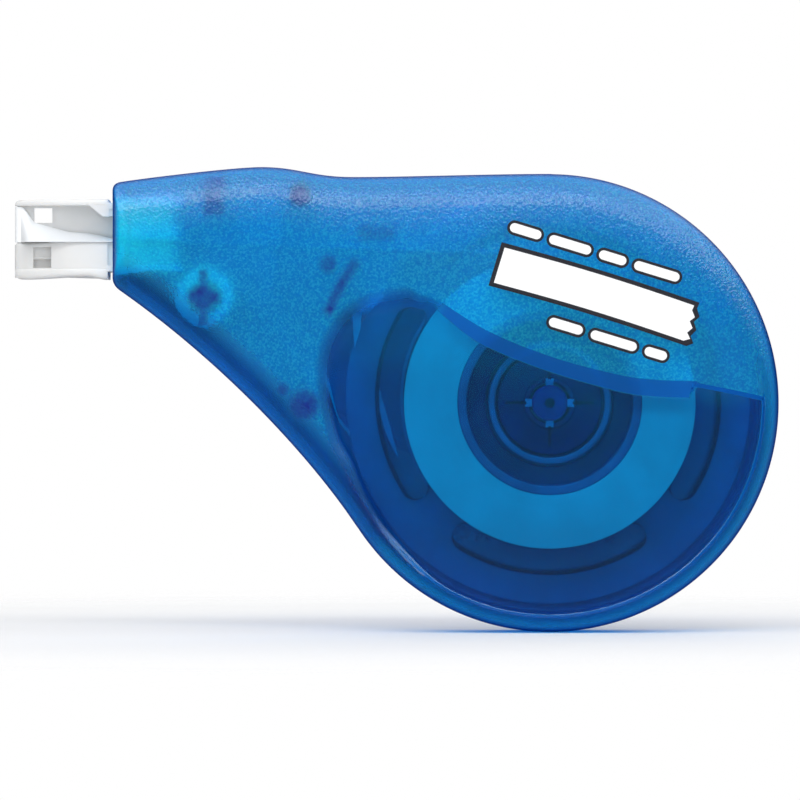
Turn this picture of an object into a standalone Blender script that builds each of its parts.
# Correction tape roller: a hand-held dispenser with two reels stacked on one axle.
#
# Frame: +X runs from the nose towards the round end, +Z is up along the height of
# the case, and the window side (front) of the case faces -Y.  The origin is on the
# axle of the reels, in the plane of the flat back of the case.  Sizes are in
# millimetres (MM turns them into metres) and angles in degrees.  "Depth" is measured
# from the back face towards the window side, so a point (x, z, depth) sits at world
# (x, -depth, z).  Pairs are (low, high) or (inner, outer) unless a comment says more.

import math

import bmesh
import bpy
import numpy as np
from mathutils import Vector

MM = 0.001

# ----------------------------------------------------------------------------
# Shared dimensions
# ----------------------------------------------------------------------------
TAPE_W = 4.2            # width of the correction tape
RIBBON_T = 0.14         # thickness of the modelled ribbons
GAP = 0.3               # clearance between neighbouring pieces
REAR_BAND = (2.4, 2.4 + TAPE_W)     # depths between which the used film runs
FRONT_BAND = (8.1, 8.1 + TAPE_W)    # depths between which the fresh tape runs
ROUND_SEG = 64          # facets of the large round pieces
SMALL_SEG = 24
OVERCUT = 1.0           # reach of a cutting tool past the face it cuts

# ----------------------------------------------------------------------------
# Case
# ----------------------------------------------------------------------------
CASE_T = 15.0           # thickness of the case, back to front
SPLIT = 7.5             # depth of the parting plane of the two shells
WALL = 1.5              # side wall
FLOOR = 1.4             # depth of the inside face of the back wall
CEILING = 13.0          # depth of the inside face of the front wall
BACK_ROOT = FLOOR - 0.7         # pieces on the back wall start sunk in it
FRONT_ROOT = CEILING + 0.6      # pieces on the front wall end sunk in it

# Rounded outer edge: width, width round the window, depth
EDGE_BACK = (3.2, 3.2, 3.0)
EDGE_FRONT = (3.9, 1.9, 3.0)
EDGE_STEPS = 5
SLIM_FADE_IN = (-160.0, -120.0)     # angles over which the edge narrows
SLIM_FADE_OUT = (0.0, 45.0)         # angles over which it widens again

# Rounding of the hollow: extra inset of the wall and of the mouth, height to go
CAVITY_STEPS = [(0.0, 0.0, 1.4), (0.4, 0.2, 0.5), (1.3, 0.6, 0.0)]

# Side outline, (x, z): a round end joined to the mouth by Bezier curves
ROUND_R = 26.9          # outside radius of the round end
ROUND_END = 213.3       # angle where the belly leaves the round end
ROUND_STEPS = 46
BELLY = [(-50.9, 13.51), (-38.3, 4.77), (-27.81, -6.67), (-22.48, -14.77)]
BELLY_STEPS = 15
CREST = [[(0.0, ROUND_R), (-7.0, ROUND_R), (-17.07, 26.53), (-23.07, 26.53)],
         [(-23.07, 26.53), (-27.98, 26.53), (-29.48, 27.7), (-33.85, 27.7)],
         [(-33.85, 27.7), (-37.17, 27.7), (-48.26, 26.31), (-50.4, 25.95)]]
CREST_STEPS = (8, 7, 8)

MOUTH_X = -51.33        # front face of the neck, where the nose comes out
MOUTH_EDGE = 1.1        # rounding of the mouth's rim
CORNER = 0.9            # reach of the small corners of the mouth
CORNER_STEPS = 3
BELLY_SEARCH = (-0.35, 0.6)     # curve parameters that bracket the mouth corners
CREST_SEARCH = (0.6, 1.04)
MOUTH_Z = (15.16, 23.78)
MOUTH_DEPTH = (2.0, 12.7)

WINDOW_DEPTH = 14.2     # depth of the smooth window, below the grained panel
WINDOW_R = 25.05        # radius of the window's lower edge
WINDOW_TURN = 196.0     # angle where the window's edge leaves that radius
WINDOW_STEPS = 40
# (x, z) points of the window's nose-side lobe and of its upper edge
WINDOW_LOBE = [(-25.6, -3.6), (-26.9, 1.4), (-26.7, 6.0), (-25.0, 9.8),
               (-21.6, 12.4), (-17.6, 13.1), (-14.6, 12.5), (-12.9, 11.2)]
LIP = [(-12.9, 11.2), (-6.8, 7.55), (0.8, 4.2), (8.4, 2.25), (16.8, 1.45),
       (22.4, 0.95), (25.04, 0.4)]

# Joining pin on the front shell, and its bored boss on the back shell
JOIN_PIN = (-29.3, 24.2)        # x, z
JOIN_PIN_R = 1.3
JOIN_PIN_LOW = 7.55
JOIN_TIP_R = 0.55
JOIN_TIP = (4.6, 7.9)
BOSS_R = 1.45
BORE_R = 0.9
BORE = (3.0, 8.0)

BACK_TOP = 7.2          # top of the short pieces on the back shell
TALL_TOP = 12.6         # top of the tall ones
# Plain pins on the back shell: (x, z), radius, facets, top
BACK_PINS = [((-26.0, 16.3), 0.95, 20, TALL_TOP),
             ((-21.1, 19.9), 0.55, 16, BACK_TOP),
             # on the belly side, clear of the film's straight run
             ((-28.8, -0.25), 1.05, 20, BACK_TOP),
             ((-31.3, 1.6), 0.55, 16, BACK_TOP)]
LATCH_RIB = (-40.6, 22.4, -38.2, 25.95)     # x low, z low, x high, z high
LATCH_RIB_LOW = BACK_ROOT + 0.4
GUARD_R = (27.6, 28.6)      # curved wall between the reels and the neck
GUARD_ANGLES = (144.0, 158.0)
GUARD_STEPS = 8

POST = (-40.6, 12.4)    # cross-shaped post that carries the nose's foot
POST_REACH = 1.65       # length of the cross's arms from its centre
POST_HALF_T = 0.5       # half the thickness of the arms
POST_TOP = 11.8
FOOT_RIB_REACH = 3.2
FOOT_RIB_LOW = 12.15

AXLE_R = 2.1            # axle post moulded on the back shell
AXLE_TOP = 12.2
AXLE_HOLE_R = 0.6
AXLE_HOLE_DEEP = 3.0

# ----------------------------------------------------------------------------
# Reels on the axle: radii are (inner, outer), the rest are depths
# ----------------------------------------------------------------------------
DISC = (6.9, 7.7)       # disc of the take-up reel
DISC_R = 24.2
DISC_EASE = 0.25        # chamfer of the disc's rim
SLEEVE_R = (2.4, 3.2)   # bearing sleeve of the take-up reel
SLEEVE = (1.9, 9.6)
HUB_R = (6.45, 7.2)     # tube that carries the supply reel
HUB_TOP = 12.1
DRUM_R = (20.5, 21.2)   # drum on which the used film is wound
DRUM_LOW = REAR_BAND[0] - 0.1
SLOT_R = (17.7, 20.2)   # kidney slots through the disc
SLOT_SPAN = 74.0
SLOT_COUNT = 4
FILM_R = (DRUM_R[1] + 0.25, 21.75)      # used film wound so far

CORE_R = (9.8, 10.85)   # supply core
CORE_WEB = (9.2, 10.0)  # its inner flange
CORE_WEB_R = 7.55
ROLL_R = (11.14, 17.15)     # wound fresh tape
RING_R = (7.6, 9.3)     # friction ring
RING = (8.0, 8.9)
RING_EASE = 0.2
RING_SEG = 48

CAP_R = (2.45, 6.1)     # snap cap that holds the reels on the axle
CAP = (10.9, 11.5)
CAP_COLLAR = (0.55, 0.35)       # wall and height of the collar round its hole
CAP_SEG = 40
SLIT_RADII = (1.0, 5.2)
SLIT_HALF_W = 0.17
SLIT_COUNT = 4

# ----------------------------------------------------------------------------
# Nose
# ----------------------------------------------------------------------------
WEB = (6.95, 7.75)      # web that parts the fresh tape from the used film
MID = (WEB[0] + WEB[1]) / 2     # middle plane of the nose
NOSE_TOP = 23.95
NOSE_BOTTOM = 14.57
RAIL_TOP_T = 0.72
RAIL_BOTTOM_T = 1.2
BLADE_X = -62.3         # centre of the rounded blade
BLADE_R = 0.42
LOWER_BLADE_R = 0.72
BLADE_SEG = 18
TAPE_LOW = 18.95        # lower edge of the tape on the blade
BLOCK_SHRINK = 0.2      # inset of the solid lower part from the rails
NECK = (15.46, 23.48)   # the nose's beam inside the mouth
BEAM_X = (-52.1, -43.0)
BEAM_FLANGE_T = 0.7
BEAM_DEPTH = (2.6, 12.1)
GUSSET_HALF_D = 4.7
FOOT_R = (1.95, 3.35)
FOOT_LOW = 2.9
NECK_X = -52.0          # where the web narrows to enter the mouth

# Half of the nose seen from above, (x, half depth): a bill that thins to the blade
NOSE_HALF = [(-63.0, 0.45), (-62.75, 0.75), (-62.3, 1.15), (-60.7, 2.3), (-58.5, 3.55),
             (-56.6, 4.35), (-54.0, 4.7), (-51.9, 4.75)]
# Web, with the lug that holds the foot, (x, z)
WEB_OUTLINE = [(BLADE_X, NOSE_BOTTOM + 0.4), (NECK_X, NOSE_BOTTOM + 0.4),
               (NECK_X, NECK[0] + 0.2), (-46.0, NECK[0] + 0.2), (-43.9, 11.6),
               (-41.6, 9.4), (-38.6, 10.2), (-37.6, 13.4), (-39.2, 15.2),
               (BEAM_X[1], 17.4), (BEAM_X[1], NECK[1] - 0.2), (NECK_X, NECK[1] - 0.2),
               (NECK_X, NOSE_TOP - 0.3), (BLADE_X, NOSE_TOP - 0.3)]
# Gusset under the top rail, beside the neck, (x, z)
GUSSET = [(-54.15, NOSE_TOP - 0.3), (-54.15, 23.25), (-52.5, 21.9), (-51.7, 21.9),
          (-51.7, NOSE_TOP - 0.3)]
OPENING_X = (-60.75, -58.6)     # openings in the side of the nose
WEB_OPENING_Z = (18.85, 23.0)
WEB_OVERCUT = 0.6
POCKET_Z = (15.9, 18.35)
POCKET_DEPTHS = [(8.15, 13.0), (1.5, 6.55)]     # front, back

# ----------------------------------------------------------------------------
# Ribbons
# ----------------------------------------------------------------------------
# Turn of the ribbon between the blade (flat) and the case (on edge): x, degrees
TWIST = [(-62.3, 0.0), (-61.7, 22.0), (-60.7, 45.0), (-59.5, 58.5), (-58.1, 68.0),
         (-56.6, 74.0), (-54.6, 77.5), (-52.6, 82.0), (-50.2, 90.0)]
TWIST_STEP = 0.45       # distance between sections of the twisting part
RUN_X = -50.0           # where the ribbon stands on edge and runs straight
LAST_STEP_MIN = 0.1     # least length left before RUN_X
BLADE_START = 3.0       # angle on the blade where the ribbon starts
BLADE_STEPS = 4
FOOT_STEPS = 5
STRAIGHT_STEPS = 4
ACROSS = 2              # strips across the ribbon's width

# ----------------------------------------------------------------------------
# Materials, one per piece: base colour, roughness, transmission
# ----------------------------------------------------------------------------
CASE_BLUE = ((0.01, 0.16, 0.52), 0.35, 0.6)
MATERIALS = {
    "front_shell": CASE_BLUE,
    "back_shell": CASE_BLUE,
    "applicator_nose": ((0.85, 0.87, 0.9), 0.35, 0.0),
    "tape_fresh_run": ((0.9, 0.9, 0.9), 0.5, 0.0),
    "tape_used_run": ((0.7, 0.75, 0.8), 0.3, 0.0),
    "take_up_reel": ((0.02, 0.10, 0.36), 0.3, 0.0),
    "used_film_winding": ((0.55, 0.6, 0.66), 0.3, 0.0),
    "friction_ring": ((0.03, 0.03, 0.035), 0.7, 0.0),
    "snap_cap": ((0.015, 0.05, 0.22), 0.3, 0.0),
    "supply_core": ((0.02, 0.12, 0.42), 0.3, 0.0),
    "tape_roll": ((0.86, 0.88, 0.9), 0.55, 0.0),
}
SHARP_ANGLE = 32.0      # edges that turn by more than this are shaded sharp
MERGE = 1e-7            # metres; closer vertices are one


# ----------------------------------------------------------------------------
# Curves and outlines
# ----------------------------------------------------------------------------
def polar(radius, angle, centre=(0.0, 0.0)):
    turn = math.radians(angle)
    return (centre[0] + radius * math.cos(turn), centre[1] + radius * math.sin(turn))


def arc(radius, start, end, steps, centre=(0.0, 0.0)):
    """Points of an arc, both ends included."""
    return [polar(radius, start + (end - start) * i / steps, centre)
            for i in range(steps + 1)]


def circle(centre, radius, count):
    return [polar(radius, 360.0 * i / count, centre) for i in range(count)]


def rect(x0, z0, x1, z1):
    return [(x0, z0), (x1, z0), (x1, z1), (x0, z1)]


def bezier(curve, along):
    rest = 1.0 - along
    weights = (rest * rest * rest, 3 * rest * rest * along, 3 * rest * along * along,
               along * along * along)
    return tuple(sum(w * point[axis] for w, point in zip(weights, curve))
                 for axis in (0, 1))


def bezier_direction(curve, along):
    rest = 1.0 - along
    weights = (3 * rest * rest, 6 * rest * along, 3 * along * along)
    dx, dz = (sum(w * (end[axis] - start[axis])
                  for w, start, end in zip(weights, curve, curve[1:]))
              for axis in (0, 1))
    length = math.hypot(dx, dz)
    return (dx / length, dz / length)


def inset(curve, along, distance):
    """Point on a Bezier piece of the outline, moved inwards.  The outline runs
    anticlockwise seen from the window side, so inwards is to the left."""
    x, z = bezier(curve, along)
    dx, dz = bezier_direction(curve, along)
    return (x - dz * distance, z + dx * distance)


def solve_x(curve, distance, x_want, low, high):
    """The parameter at which an inset piece crosses a given x, by bisection."""
    rising = inset(curve, high, distance)[0] > inset(curve, low, distance)[0]
    for _ in range(50):
        middle = 0.5 * (low + high)
        if (inset(curve, middle, distance)[0] < x_want) == rising:
            low = middle
        else:
            high = middle
    return 0.5 * (low + high)


def corner(start, knee, end):
    """A quadratic corner from start to end round the knee, without its end points."""
    points = []
    for i in range(1, CORNER_STEPS):
        along = i / CORNER_STEPS
        points.append(tuple((1 - along) ** 2 * start[axis]
                            + 2 * along * (1 - along) * knee[axis]
                            + along * along * end[axis] for axis in (0, 1)))
    return points


def spline(points, steps):
    """Open Catmull-Rom curve through the points."""
    result = []
    last = len(points) - 1
    for i in range(last):
        before, start, end, after = (points[min(max(i + j - 1, 0), last)]
                                     for j in range(4))
        for k in range(steps):
            t = k / steps
            result.append(tuple(
                0.5 * (2 * start[c] + (end[c] - before[c]) * t
                       + (2 * before[c] - 5 * start[c] + 4 * end[c] - after[c]) * t * t
                       + (3 * start[c] - before[c] - 3 * end[c] + after[c]) * t ** 3)
                for c in (0, 1)))
    result.append(points[-1])
    return result


def smooth_step(limits, value):
    low, high = limits
    share = min(1.0, max(0.0, (value - low) / (high - low)))
    return share * share * (3 - 2 * share)


# ----------------------------------------------------------------------------
# Meshes
# ----------------------------------------------------------------------------
def world(x, z, depth):
    return Vector((x * MM, -depth * MM, z * MM))


def mesh_object(bm):
    bmesh.ops.remove_doubles(bm, verts=bm.verts, dist=MERGE)
    bmesh.ops.recalc_face_normals(bm, faces=bm.faces)
    mesh = bpy.data.meshes.new("part")
    bm.to_mesh(mesh)
    bm.free()
    obj = bpy.data.objects.new("part", mesh)
    bpy.context.scene.collection.objects.link(obj)
    return obj


def loft(loops, closed=False):
    """Skin a stack of loops of (x, z, depth) points, all with the same count.  The
    ends are capped, unless closed joins the last loop to the first."""
    bm = bmesh.new()
    rings = [[bm.verts.new(world(*point)) for point in loop] for loop in loops]
    count = len(rings[0])
    pairs = list(zip(rings[:-1], rings[1:]))
    if closed:
        pairs.append((rings[-1], rings[0]))
    for near, far in pairs:
        for i in range(count):
            j = (i + 1) % count
            bm.faces.new((near[i], near[j], far[j], far[i]))
    if not closed:
        bm.faces.new(rings[0])
        bm.faces.new(list(reversed(rings[-1])))
    return mesh_object(bm)


def at_depth(outline, depth):
    return [(x, z, depth) for x, z in outline]


def prism(outline, low, high):
    """A prism along the depth, from an outline of (x, z) points."""
    return loft([at_depth(outline, low), at_depth(outline, high)])


def prism_z(outline, low, high):
    """A prism standing along z, from an outline of (x, depth) points."""
    return loft([[(x, z, depth) for x, depth in outline] for z in (low, high)])


def turned(profile, seg=ROUND_SEG):
    """A ring turned about the axle from a closed profile of (radius, depth)."""
    # The part-facet offset keeps the facets' edges off the x and z axes.
    return loft([[(*polar(radius, 360.0 * (i + 0.37) / seg), depth)
                  for radius, depth in profile] for i in range(seg)], closed=True)


def combine(obj, operation, tools):
    """Boolean of obj with each tool in turn, applied; the tools are removed."""
    for tool in tools:
        mod = obj.modifiers.new("boolean", "BOOLEAN")
        mod.operation = operation
        mod.solver = "EXACT"
        mod.object = tool
        bpy.context.view_layer.update()
        graph = bpy.context.evaluated_depsgraph_get()
        mesh = bpy.data.meshes.new_from_object(obj.evaluated_get(graph))
        obj.modifiers.clear()
        old = obj.data
        obj.data = mesh
        bpy.data.meshes.remove(old)
        bpy.data.objects.remove(tool)


def add(obj, *tools):
    combine(obj, "UNION", tools)


def cut(obj, *tools):
    combine(obj, "DIFFERENCE", tools)


def make_material(name):
    colour, roughness, transmission = MATERIALS[name]
    mat = bpy.data.materials.new(name)
    mat.use_nodes = True
    inputs = mat.node_tree.nodes["Principled BSDF"].inputs
    inputs["Base Color"].default_value = (*colour, 1.0)
    inputs["Roughness"].default_value = roughness
    inputs["Transmission Weight"].default_value = transmission
    mat.diffuse_color = (*colour, 1.0)
    return mat


def finish(obj, name):
    """Clean the mesh, then name, shade and colour the piece."""
    bm = bmesh.new()
    bm.from_mesh(obj.data)
    bmesh.ops.dissolve_degenerate(bm, edges=bm.edges, dist=MERGE)
    bm.to_mesh(obj.data)
    bm.free()
    obj.name = name
    obj.data.name = name
    obj.data.shade_smooth()
    obj.data.set_sharp_from_angle(angle=math.radians(SHARP_ANGLE))
    obj.data.materials.clear()
    obj.data.materials.append(make_material(name))
    return obj


# ----------------------------------------------------------------------------
# Case shells
# ----------------------------------------------------------------------------
def mouth_corner(curve, search, edge, face_x, side):
    """Where a curve of the outline turns into the mouth's face.  Side is +1 if the
    face lies above the curve, -1 if below.  Returns the curve's parameter and the
    corner's end on the curve, knee and end on the face."""
    along = solve_x(curve, edge, face_x + CORNER, *search)
    on_curve = inset(curve, along, edge)
    dx, dz = bezier_direction(curve, along)
    knee = (face_x, on_curve[1] - CORNER * dz / dx)
    return along, on_curve, knee, (face_x, knee[1] + side * CORNER)


def case_loop(edge, mouth, slim=None):
    """The case's outline moved inwards by edge, and by mouth at the mouth.  The inset
    narrows to slim, if given, round the window side of the round end."""
    if slim is None:
        slim = edge
    face_x = MOUTH_X + mouth
    low_at, low, low_knee, face_low = mouth_corner(BELLY, BELLY_SEARCH, edge, face_x, 1)
    high_at, high, high_knee, face_high = mouth_corner(CREST[2], CREST_SEARCH, edge,
                                                       face_x, -1)

    points = [face_high, (face_x, 0.5 * (face_high[1] + face_low[1])), face_low]
    points += corner(face_low, low_knee, low)
    for i in range(BELLY_STEPS):
        points.append(inset(BELLY, low_at + (1.0 - low_at) * i / BELLY_STEPS, edge))
    start = ROUND_END - 360.0
    for i in range(ROUND_STEPS):
        angle = start + (90.0 - start) * i / ROUND_STEPS
        share = smooth_step(SLIM_FADE_IN, angle) * (1 - smooth_step(SLIM_FADE_OUT, angle))
        points.append(polar(ROUND_R - (edge + (slim - edge) * share), angle))
    for curve, steps, end in zip(CREST, CREST_STEPS, (1.0, 1.0, high_at)):
        for i in range(steps):
            points.append(inset(curve, end * i / steps, edge))
    points.append(high)
    return points + corner(high, high_knee, face_high)


def hollow_shell(face, inner_face, edge):
    """One shell, from the parting plane to its rounded outer face, hollowed out."""
    width, slim, edge_depth = edge
    outwards = 1.0 if face > SPLIT else -1.0
    loops = [at_depth(case_loop(0.0, 0.0), SPLIT + outwards * GAP / 2)]
    for i in range(EDGE_STEPS + 1):
        angle = math.radians(90.0 * i / EDGE_STEPS)
        share = 1.0 - math.cos(angle)
        loops.append(at_depth(case_loop(width * share, MOUTH_EDGE * share, slim * share),
                              face - outwards * edge_depth * (1.0 - math.sin(angle))))
    obj = loft(loops)

    loops = [at_depth(case_loop(WALL, WALL), SPLIT - outwards * OVERCUT)]
    for wall_extra, mouth_extra, to_go in CAVITY_STEPS:
        loops.append(at_depth(case_loop(WALL + wall_extra, WALL + mouth_extra),
                              inner_face - outwards * to_go))
    cut(obj, loft(loops))
    return obj


def window_outline():
    arc_start = math.degrees(math.atan2(LIP[-1][1], LIP[-1][0]))
    points = arc(WINDOW_R, arc_start, WINDOW_TURN - 360.0, WINDOW_STEPS)
    points += spline([points[-1]] + WINDOW_LOBE, 3)[1:]
    return points + spline(LIP, 3)[1:-1]


def mouth_cutter():
    outline = rect(MOUTH_X - 2.0, MOUTH_Z[0], MOUTH_X + WALL + OVERCUT, MOUTH_Z[1])
    return prism(outline, *MOUTH_DEPTH)


def build_front_shell():
    obj = hollow_shell(CASE_T, CEILING, EDGE_FRONT)
    cut(obj, prism(window_outline(), WINDOW_DEPTH, CASE_T + OVERCUT))
    # joining pin and its thin tip, which plug into the back shell
    add(obj,
        prism(circle(JOIN_PIN, JOIN_PIN_R, SMALL_SEG), JOIN_PIN_LOW, FRONT_ROOT),
        prism(circle(JOIN_PIN, JOIN_TIP_R, 16), *JOIN_TIP))
    # rib that presses on the nose's foot, in line with the cross-shaped post
    x, z = POST
    add(obj, prism(rect(x - POST_HALF_T, z - FOOT_RIB_REACH,
                        x + POST_HALF_T, z + FOOT_RIB_REACH), FOOT_RIB_LOW, FRONT_ROOT))
    cut(obj, mouth_cutter())
    return finish(obj, "front_shell")


def cross_outline(centre, reach, half):
    corners = [(-reach, -half), (-half, -half), (-half, -reach),
               (half, -reach), (half, -half), (reach, -half),
               (reach, half), (half, half), (half, reach),
               (-half, reach), (-half, half), (-reach, half)]
    return [(centre[0] + dx, centre[1] + dz) for dx, dz in corners]


def build_back_shell():
    obj = hollow_shell(0.0, FLOOR, EDGE_BACK)
    # bored boss for the joining pin
    add(obj, prism(circle(JOIN_PIN, BOSS_R, SMALL_SEG), BACK_ROOT, BACK_TOP))
    cut(obj, prism(circle(JOIN_PIN, BORE_R, 16), *BORE))
    for place, radius, count, top in BACK_PINS:
        add(obj, prism(circle(place, radius, count), BACK_ROOT, top))
    first, last = GUARD_ANGLES
    guard = (arc(GUARD_R[1], first, last, GUARD_STEPS)
             + arc(GUARD_R[0], last, first, GUARD_STEPS))
    # post, latch rib, reel guard and axle
    add(obj,
        prism(cross_outline(POST, POST_REACH, POST_HALF_T), BACK_ROOT, POST_TOP),
        prism(rect(*LATCH_RIB), LATCH_RIB_LOW, BACK_TOP),
        prism(guard, BACK_ROOT, TALL_TOP),
        prism(circle((0, 0), AXLE_R, 32), BACK_ROOT, AXLE_TOP))
    cut(obj,
        prism(circle((0, 0), AXLE_HOLE_R, 16), AXLE_TOP - AXLE_HOLE_DEEP,
              AXLE_TOP + OVERCUT),
        mouth_cutter())
    return finish(obj, "back_shell")


# ----------------------------------------------------------------------------
# Reels on the axle
# ----------------------------------------------------------------------------
def slot_outline(middle):
    """Kidney slot centred on an angle: two arcs joined by round ends."""
    inner, outer = SLOT_R
    centre_r = 0.5 * (inner + outer)
    end_r = 0.5 * (outer - inner)
    half = SLOT_SPAN / 2 - math.degrees(end_r / centre_r)
    points = []
    for side, radius, turn in ((1, outer, 0.0), (-1, inner, 180.0)):
        end = middle + side * half
        points += arc(radius, middle - side * half, end, 12)
        points += arc(end_r, end + turn, end + turn + 180.0, 6, polar(centre_r, end))[1:-1]
    return points


def build_take_up_reel():
    low, high = DISC
    obj = turned([
        (SLEEVE_R[0], SLEEVE[0]), (SLEEVE_R[1], SLEEVE[0]), (SLEEVE_R[1], low),
        (DRUM_R[0], low), (DRUM_R[0], DRUM_LOW), (DRUM_R[1], DRUM_LOW), (DRUM_R[1], low),
        (DISC_R - DISC_EASE, low), (DISC_R, low + DISC_EASE),
        (DISC_R, high - DISC_EASE), (DISC_R - DISC_EASE, high),
        (HUB_R[1], high), (HUB_R[1], HUB_TOP), (HUB_R[0], HUB_TOP), (HUB_R[0], high),
        (SLEEVE_R[1], high), (SLEEVE_R[1], SLEEVE[1]), (SLEEVE_R[0], SLEEVE[1])])
    for k in range(SLOT_COUNT):
        cut(obj, prism(slot_outline(360.0 / SLOT_COUNT * k), low - OVERCUT, high + OVERCUT))
    return finish(obj, "take_up_reel")


def build_supply_core():
    low, high = FRONT_BAND
    obj = turned([
        (CORE_R[0], low), (CORE_R[1], low), (CORE_R[1], high), (CORE_R[0], high),
        (CORE_R[0], CORE_WEB[1]), (CORE_WEB_R, CORE_WEB[1]),
        (CORE_WEB_R, CORE_WEB[0]), (CORE_R[0], CORE_WEB[0])])
    return finish(obj, "supply_core")


def build_winding(name, radii, band):
    return finish(turned(rect(radii[0], band[0], radii[1], band[1])), name)


def build_friction_ring():
    inner, outer = RING_R
    low, high = RING
    ease = RING_EASE
    profile = [(inner + ease, low), (outer - ease, low), (outer, low + ease),
               (outer, high - ease), (outer - ease, high), (inner + ease, high),
               (inner, high - ease), (inner, low + ease)]
    return finish(turned(profile, RING_SEG), "friction_ring")


def build_snap_cap():
    inner, outer = CAP_R
    low, high = CAP
    collar_r, collar_top = inner + CAP_COLLAR[0], high + CAP_COLLAR[1]
    obj = turned([(inner, low), (outer, low), (outer, high), (collar_r, high),
                  (collar_r, collar_top), (inner, collar_top)], CAP_SEG)
    slit = rect(SLIT_RADII[0], -SLIT_HALF_W, SLIT_RADII[1], SLIT_HALF_W)
    for k in range(SLIT_COUNT):
        cos, sin = polar(1.0, 360.0 / SLIT_COUNT * k)
        outline = [(x * cos - z * sin, x * sin + z * cos) for x, z in slit]
        cut(obj, prism(outline, low - OVERCUT, high + OVERCUT))
    return finish(obj, "snap_cap")


# ----------------------------------------------------------------------------
# Nose
# ----------------------------------------------------------------------------
def nose_plan(shrink=0.0):
    """The nose seen from above, as (x, depth)."""
    half = spline([(x, depth - shrink) for x, depth in NOSE_HALF], 2)
    return ([(x, MID + depth) for x, depth in half]
            + [(x, MID - depth) for x, depth in reversed(half)])


def blade(radius, low, high):
    return prism_z(circle((BLADE_X, MID), radius, BLADE_SEG), low, high)


def beam_flange(low, high):
    return prism(rect(BEAM_X[0], low, BEAM_X[1], high), *BEAM_DEPTH)


def nose_opening(heights, low, high):
    outline = rect(OPENING_X[0], heights[0], OPENING_X[1], heights[1])
    return prism(outline, low, high)


def build_nose():
    obj = prism(WEB_OUTLINE, *WEB)
    add(obj,
        blade(BLADE_R, NOSE_BOTTOM + 0.3, NOSE_TOP - 0.2),
        blade(LOWER_BLADE_R, NOSE_BOTTOM + 0.2, TAPE_LOW - GAP),
        # rails above and below the tape
        prism_z(nose_plan(), NOSE_TOP - RAIL_TOP_T, NOSE_TOP),
        prism_z(nose_plan(), NOSE_BOTTOM, NOSE_BOTTOM + RAIL_BOTTOM_T),
        # solid lower part below the tape, following the same plan
        prism_z(nose_plan(BLOCK_SHRINK), NOSE_BOTTOM + 0.5, TAPE_LOW - 0.35),
        prism(GUSSET, MID - GUSSET_HALF_D, MID + GUSSET_HALF_D),
        # flanges above and below the web inside the case
        beam_flange(NECK[1] - BEAM_FLANGE_T, NECK[1]),
        beam_flange(NECK[0], NECK[0] + BEAM_FLANGE_T),
        # foot round the post
        prism(circle(POST, FOOT_R[1], 28), FOOT_LOW, POST_TOP))
    cut(obj,
        prism(circle(POST, FOOT_R[0], SMALL_SEG), 2.0, POST_TOP + OVERCUT),
        # opening through the web at the height of the tape
        nose_opening(WEB_OPENING_Z, WEB[0] - WEB_OVERCUT, WEB[1] + WEB_OVERCUT))
    # blind pockets below the tape
    for low, high in POCKET_DEPTHS:
        cut(obj, nose_opening(POCKET_Z, low, high))
    return finish(obj, "applicator_nose")


# ----------------------------------------------------------------------------
# Ribbons: sections are (low edge, high edge, normal), each in (x, z, depth)
# ----------------------------------------------------------------------------
def tangent_angle(point, radius, centre=(0.0, 0.0)):
    """Angle on a circle where a line from the point touches it, on the side
    clockwise from the point."""
    dx, dz = point[0] - centre[0], point[1] - centre[1]
    return math.degrees(math.atan2(dz, dx) - math.acos(radius / math.hypot(dx, dz)))


def nose_sections():
    """Fresh tape from the blade's leading edge to just inside the case's mouth."""
    sections = []
    radius = (WEB[1] - WEB[0]) / 2 + GAP
    for i in range(BLADE_STEPS + 1):
        cos, sin = polar(1.0, BLADE_START + (90.0 - BLADE_START) * i / BLADE_STEPS)
        x, depth = BLADE_X - radius * cos, MID + radius * sin
        sections.append(((x, TAPE_LOW, depth), (x, TAPE_LOW + TAPE_W, depth),
                         (-cos, 0.0, sin)))
    base = MID + radius
    twist_x, twist_angle = zip(*TWIST)
    x = BLADE_X + TWIST_STEP
    while x < RUN_X - LAST_STEP_MIN:
        cos, sin = polar(1.0, float(np.interp(x, twist_x, twist_angle)))
        sections.append(((x, TAPE_LOW, base + TAPE_W * sin),
                         (x, TAPE_LOW + TAPE_W * cos, base), (0.0, sin, cos)))
        x += TWIST_STEP
    sections.append(((RUN_X, TAPE_LOW, base + TAPE_W), (RUN_X, TAPE_LOW, base),
                     (0.0, 1.0, 0.0)))
    return sections


def edge_on(point, depths, normal):
    """Section of a ribbon that stands on edge, with its normal in (x, z)."""
    return ((*point, depths[0]), (*point, depths[1]), (*normal, 0.0))


def straight_run(start, end, depths, normal):
    """Sections from start to end, without the one at the start."""
    sections = []
    for i in range(1, STRAIGHT_STEPS + 1):
        share = i / STRAIGHT_STEPS
        point = [start[c] + (end[c] - start[c]) * share for c in (0, 1)]
        sections.append(edge_on(point, depths, normal))
    return sections


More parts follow.
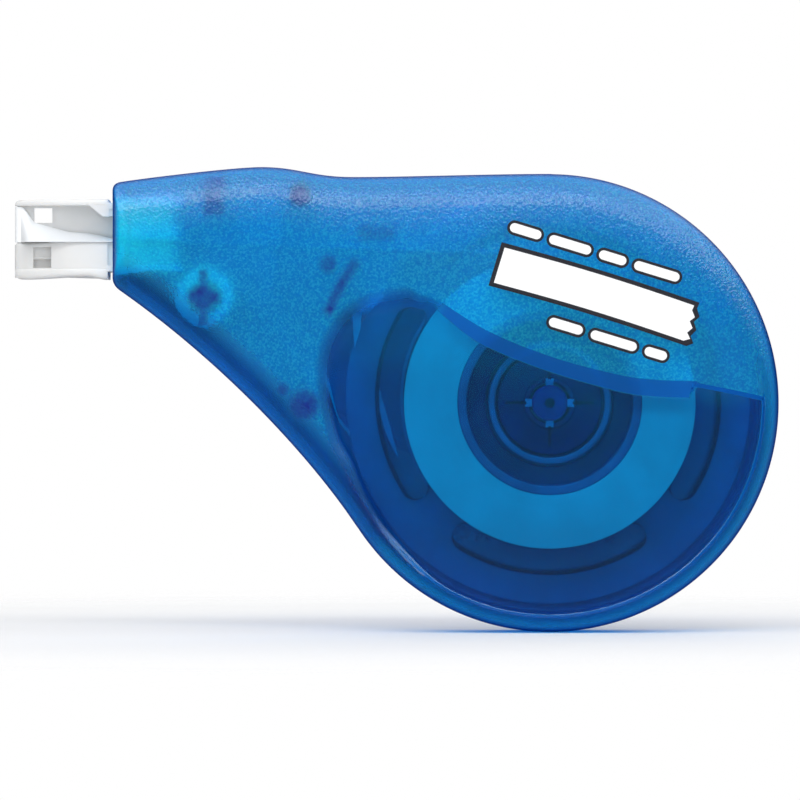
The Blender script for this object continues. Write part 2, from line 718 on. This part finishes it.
def ribbon(sections):
    """A thin closed strip.  Both of its sides are split along the same diagonals, so
    they stay parallel where the strip twists."""
    bm = bmesh.new()
    half = RIBBON_T / 2
    rows = []
    for low, high, normal in sections:
        line = [[low[c] + (high[c] - low[c]) * i / ACROSS for c in range(3)]
                for i in range(ACROSS + 1)]
        rows.append([[bm.verts.new(world(*(point[c] + offset * normal[c]
                                           for c in range(3)))) for point in line]
                     for offset in (half, -half)])
    for near, far in zip(rows[:-1], rows[1:]):
        for side in (0, 1):
            for i in range(ACROSS):
                bm.faces.new((near[side][i], near[side][i + 1], far[side][i + 1]))
                bm.faces.new((near[side][i], far[side][i + 1], far[side][i]))
        for k in (0, ACROSS):
            bm.faces.new((near[0][k], near[1][k], far[1][k]))
            bm.faces.new((near[0][k], far[1][k], far[0][k]))
    for row in (rows[0], rows[-1]):
        bm.faces.new(row[0] + row[1][::-1])
    return mesh_object(bm)


def build_fresh_ribbon():
    """From the blade straight to the top of the fresh roll."""
    start = (RUN_X, TAPE_LOW)
    radius = ROLL_R[1] + GAP + RIBBON_T / 2
    end = polar(radius, tangent_angle(start, radius))
    sections = nose_sections() + straight_run(start, end, FRONT_BAND[::-1], (0.0, 1.0))
    return finish(ribbon(sections), "tape_fresh_run")


def build_used_ribbon():
    """From the blade over the foot, then across to the underside of the winding."""
    sections = [((*low[:2], 2 * MID - low[2]), (*high[:2], 2 * MID - high[2]),
                 (*normal[:2], -normal[2]))
                for low, high, normal in nose_sections()]
    foot_r = FOOT_R[1] + GAP + RIBBON_T / 2
    film_r = FILM_R[1] + GAP + RIBBON_T / 2
    first = tangent_angle((RUN_X, TAPE_LOW), foot_r, POST)
    # the run to the winding is the inner tangent of foot and winding
    last = math.degrees(math.atan2(-POST[1], -POST[0])
                        + math.acos((foot_r + film_r) / math.hypot(*POST)))
    for i in range(FOOT_STEPS + 1):
        angle = first + (last - first) * i / FOOT_STEPS
        sections.append(edge_on(polar(foot_r, angle, POST), REAR_BAND, polar(1.0, angle)))
    sections += straight_run(polar(foot_r, last, POST), polar(-film_r, last), REAR_BAND,
                             polar(1.0, last))
    return finish(ribbon(sections), "tape_used_run")


# ----------------------------------------------------------------------------
# Assembly
# ----------------------------------------------------------------------------
def clear_scene():
    for obj in list(bpy.data.objects):
        bpy.data.objects.remove(obj, do_unlink=True)
    for blocks in (bpy.data.meshes, bpy.data.materials):
        for block in list(blocks):
            blocks.remove(block)


def add_empty(name, parent=None):
    obj = bpy.data.objects.new(name, None)
    obj.empty_display_size = 0.01
    bpy.context.scene.collection.objects.link(obj)
    obj.parent = parent
    return obj


def main():
    clear_scene()
    case = add_empty("case_frame")
    supply_axis = add_empty("supply_axis", case)
    take_up_axis = add_empty("take_up_axis", case)
    pieces = {
        case: [build_front_shell(), build_back_shell(), build_nose(),
               build_fresh_ribbon(), build_used_ribbon()],
        take_up_axis: [build_take_up_reel(),
                       build_winding("used_film_winding", FILM_R, REAR_BAND),
                       build_friction_ring(), build_snap_cap()],
        supply_axis: [build_supply_core(),
                      build_winding("tape_roll", ROLL_R, FRONT_BAND)],
    }
    for parent, children in pieces.items():
        for obj in children:
            obj.parent = parent


main()
